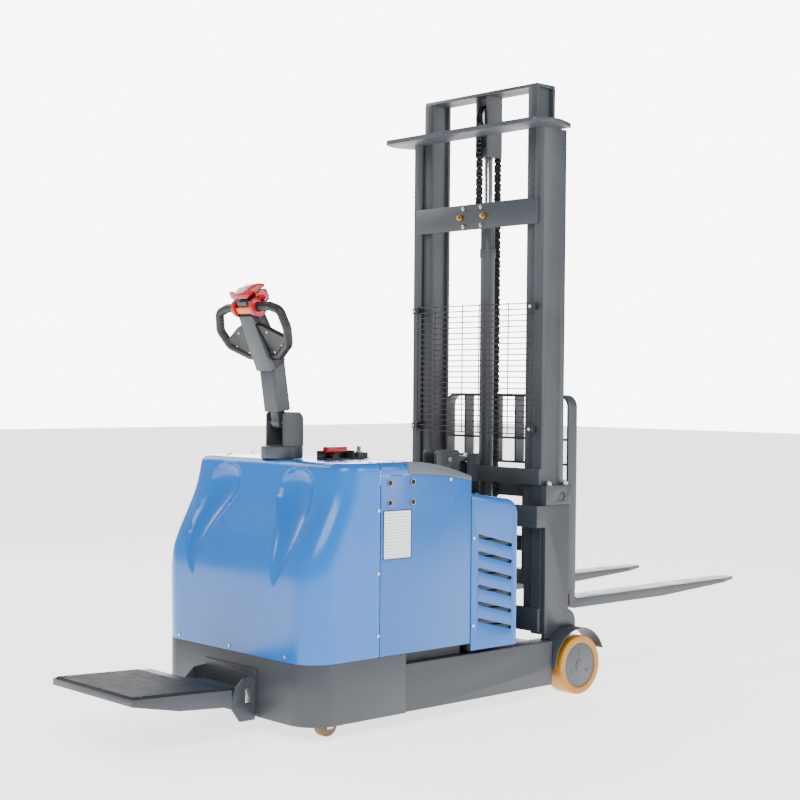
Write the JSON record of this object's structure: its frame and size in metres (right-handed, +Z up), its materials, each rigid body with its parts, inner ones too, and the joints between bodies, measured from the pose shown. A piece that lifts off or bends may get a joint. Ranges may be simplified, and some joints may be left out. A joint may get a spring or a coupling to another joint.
{
  "type": "walkie stacker",
  "caption": "Pedestrian counterbalance stacker with tiller, fold-down step, tilting duplex mast, chain-lifted fork carriage and adjustable forks.",
  "frame": {"origin": "on the floor, at the middle of the overall length and width", "axes": "+X towards the fork tips, +Y to the truck's left, +Z up"},
  "size_m": [3.0806, 0.888, 2.322],
  "materials": {
    "black_paint": "satin powder coat",
    "blue_paint": "gloss powder coat",
    "blue_cover": "gloss moulded cover",
    "grey_lid": "satin powder coat",
    "black_plastic": "moulded",
    "grey_plastic": "moulded",
    "red_plastic": "moulded",
    "orange_strip": "moulded",
    "printed_foil": "printed foil, blank",
    "brass": "turned",
    "polyurethane": "cast",
    "steel": "machined",
    "zinc_steel": "zinc plated",
    "hard_chrome": "ground",
    "cast_grey": "cast, painted",
    "rubber_mat": "ribbed",
    "mesh_black": "powder coat"
  },
  "bodies": {
    "truck": {"chassis_frame": "blue_paint", "leg_frame": "black_paint", "mast_supports": "black_paint", "trunnion_blocks": "black_paint", "step_bracket": "black_paint", "rear_cover": "blue_cover", "top_panel": "blue_paint", "side_panel_left": "blue_paint", "side_panel_right": "blue_paint", "battery_lid": "grey_lid", "vent_cover_left": "blue_paint", "vent_cover_right": "blue_paint", "battery_pack": "black_paint", "hydraulic_unit": "cast_grey", "motor_controller": "cast_grey", "fasteners": "zinc_steel", "control_bracket": "black_plastic"},
    "drive_unit": {"drive_gearbox": "cast_grey", "traction_motor": "cast_grey", "steering_column": "steel", "tiller_base": "black_paint", "gas_spring": "steel"},
    "drive_wheel": {"drive_wheel": "polyurethane"},
    "tiller": {"tiller_tube": "black_paint", "handle_loop": "black_plastic", "head_cover": "grey_plastic"},
    "throttle": {"throttle_levers": "red_plastic"},
    "belly_switch": {"belly_button": "red_plastic"},
    "lift_switch": {"lift_rocker": "grey_plastic"},
    "horn_switch": {"horn_button": "black_plastic"},
    "emergency_switch": {"emergency_plug": "red_plastic"},
    "key": {"ignition_key": "steel"},
    "caster_left": {"caster_fork_left": "zinc_steel"},
    "caster_right": {"caster_fork_right": "zinc_steel"},
    "caster_roller_left": {"caster_wheel_left": "polyurethane"},
    "caster_roller_right": {"caster_wheel_right": "polyurethane"},
    "wheel_left": {"front_tyre_left": "polyurethane", "front_hub_left": "steel"},
    "wheel_right": {"front_tyre_right": "polyurethane", "front_hub_right": "steel"},
    "step": {"step_deck": "black_paint", "step_mat": "rubber_mat"},
    "outer_mast": {"outer_mast": "black_paint", "lift_cylinder": "black_paint", "mesh_guard": "mesh_black", "chain_rear_run": "steel"},
    "mast_rollers_top": {"outer_rollers": "steel"},
    "inner_mast": {"inner_mast": "black_paint", "lift_rod": "hard_chrome"},
    "mast_rollers_low": {"inner_rollers": "steel"},
    "sheave": {"chain_sheave": "steel"},
    "carriage": {"carriage": "black_paint", "load_backrest": "black_paint", "chain_front_run": "steel"},
    "carriage_rollers_low": {"carriage_rollers_lower": "steel"},
    "carriage_rollers_top": {"carriage_rollers_upper": "steel"},
    "fork_left": {"fork_left": "black_paint"},
    "fork_right": {"fork_right": "black_paint"},
    "tilt_cylinder": {"tilt_cylinder": "black_paint"},
    "tilt_rod": {"tilt_rod": "hard_chrome"}
  },
  "joints": [
    {"name": "tiller_steer", "type": "hinge", "parent": "truck", "child": "drive_unit", "pos_m": [-0.77266, 0, 0.345], "axis": [0, 0, 1], "range_deg": [-90, 90]},
    {"name": "drive_wheel_spin", "type": "hinge", "parent": "drive_unit", "child": "drive_wheel", "pos_m": [-0.77266, 0, 0.112], "axis": [0, 1, 0], "continuous": true},
    {"name": "tiller_tilt", "type": "hinge", "parent": "drive_unit", "child": "tiller", "pos_m": [-0.78766, 0, 1.04], "axis": [0, -1, 0], "range_deg": [0, 78], "stiffness_Nm_per_rad": 22, "springref_deg": -40.11, "deforming": ["gas_spring"]},
    {"name": "throttle_turn", "type": "hinge", "parent": "tiller", "child": "throttle", "pos_m": [-0.92176, 0, 1.43854], "axis": [0, 1, 0], "range_deg": [-25, 25], "stiffness_Nm_per_rad": 0.6},
    {"name": "belly_press", "type": "slide", "parent": "tiller", "child": "belly_switch", "axis": [0.5344, 0, -0.8453], "range_m": [0, 0.006], "stiffness_N_per_m": 900},
    {"name": "lift_press", "type": "slide", "parent": "tiller", "child": "lift_switch", "axis": [0.8453, 0, 0.5344], "range_m": [0, 0.003], "stiffness_N_per_m": 400},
    {"name": "horn_press", "type": "slide", "parent": "tiller", "child": "horn_switch", "axis": [0, 1, 0], "range_m": [0, 0.003], "stiffness_N_per_m": 400},
    {"name": "emergency_push", "type": "slide", "parent": "truck", "child": "emergency_switch", "axis": [0, 0, 1], "range_m": [-0.008, 0]},
    {"name": "key_turn", "type": "hinge", "parent": "truck", "child": "key", "pos_m": [-0.54366, -0.15, 0.92], "axis": [0, 0, 1], "range_deg": [0, 90]},
    {"name": "caster_swivel_left", "type": "hinge", "parent": "truck", "child": "caster_left", "pos_m": [-0.83266, 0.35, 0.09], "axis": [0, 0, 1], "continuous": true},
    {"name": "caster_spin_left", "type": "hinge", "parent": "caster_left", "child": "caster_roller_left", "pos_m": [-0.85766, 0.35, 0.04], "axis": [0, 1, 0], "continuous": true},
    {"name": "wheel_spin_left", "type": "hinge", "parent": "truck", "child": "wheel_left", "pos_m": [0.32734, 0.404, 0.112], "axis": [0, 1, 0], "continuous": true},
    {"name": "caster_swivel_right", "type": "hinge", "parent": "truck", "child": "caster_right", "pos_m": [-0.83266, -0.35, 0.09], "axis": [0, 0, 1], "continuous": true},
    {"name": "caster_spin_right", "type": "hinge", "parent": "caster_right", "child": "caster_roller_right", "pos_m": [-0.85766, -0.35, 0.04], "axis": [0, 1, 0], "continuous": true},
    {"name": "wheel_spin_right", "type": "hinge", "parent": "truck", "child": "wheel_right", "pos_m": [0.32734, -0.404, 0.112], "axis": [0, 1, 0], "continuous": true},
    {"name": "step_fold", "type": "hinge", "parent": "truck", "child": "step", "pos_m": [-1.02966, 0, 0.13], "axis": [0, 1, 0], "range_deg": [0, 77]},
    {"name": "mast_tilt", "type": "hinge", "parent": "truck", "child": "outer_mast", "pos_m": [0.27634, 0, 0.757], "axis": [0, 1, 0], "range_deg": [-4, 2]},
    {"name": "mast_lift", "type": "slide", "parent": "outer_mast", "child": "inner_mast", "axis": [0, 0, 1], "range_m": [-0.13, 1.45], "deforming": ["chain_rear_run"]},
    {"name": "carriage_lift", "type": "slide", "parent": "inner_mast", "child": "carriage", "axis": [0, 0, 1], "range_m": [-0.13, 1.45], "deforming": ["chain_front_run"]},
    {"name": "sheave_spin", "type": "hinge", "parent": "inner_mast", "child": "sheave", "pos_m": [0.25734, 0, 2.225], "axis": [0, 1, 0], "range_deg": [-144.4, 1600.3]},
    {"name": "mast_roller_top_spin", "type": "hinge", "parent": "outer_mast", "child": "mast_rollers_top", "pos_m": [0.25134, 0, 2.085], "axis": [0, 1, 0], "range_deg": [-187.4, 2080]},
    {"name": "mast_roller_low_spin", "type": "hinge", "parent": "inner_mast", "child": "mast_rollers_low", "pos_m": [0.25284, 0, 0.43], "axis": [0, 1, 0], "range_deg": [-153.2, 1698.2]},
    {"name": "carriage_roller_low_spin", "type": "hinge", "parent": "carriage", "child": "carriage_rollers_low", "pos_m": [0.25134, 0, 0.48], "axis": [0, 1, 0], "range_deg": [-189.8, 2106.4]},
    {"name": "carriage_roller_top_spin", "type": "hinge", "parent": "carriage", "child": "carriage_rollers_top", "pos_m": [0.25134, 0, 0.8], "axis": [0, 1, 0], "range_deg": [-189.8, 2106.4]},
    {"name": "fork_slide_left", "type": "slide", "parent": "carriage", "child": "fork_left", "axis": [0, -1, 0], "range_m": [0, 0.2]},
    {"name": "fork_slide_right", "type": "slide", "parent": "carriage", "child": "fork_right", "axis": [0, 1, 0], "range_m": [0, 0.2]},
    {"name": "tilt_cylinder_swing", "type": "hinge", "parent": "truck", "child": "tilt_cylinder", "pos_m": [0.01534, 0, 0.888], "axis": [0, 1, 0], "range_deg": [-1.85, 3.69]},
    {"name": "tilt_rod_extend", "type": "slide", "parent": "tilt_cylinder", "child": "tilt_rod", "axis": [1, 0, 0], "range_m": [-0.00933, 0.00466]}
  ],
  "couplings": [
    {"joint": "carriage_lift", "follows": "mast_lift", "ratio": 1},
    {"joint": "sheave_spin", "follows": "mast_lift", "rad_per_m": 19.231},
    {"joint": "mast_roller_top_spin", "follows": "mast_lift", "rad_per_m": 25},
    {"joint": "mast_roller_low_spin", "follows": "mast_lift", "rad_per_m": 20.408},
    {"joint": "carriage_roller_low_spin", "follows": "mast_lift", "rad_per_m": 25.317},
    {"joint": "carriage_roller_top_spin", "follows": "mast_lift", "rad_per_m": 25.317},
    {"joint": "tilt_cylinder_swing", "follows": "mast_tilt", "ratio": -0.90511},
    {"joint": "tilt_rod_extend", "follows": "mast_tilt", "m_per_rad": 0.131}
  ]
}
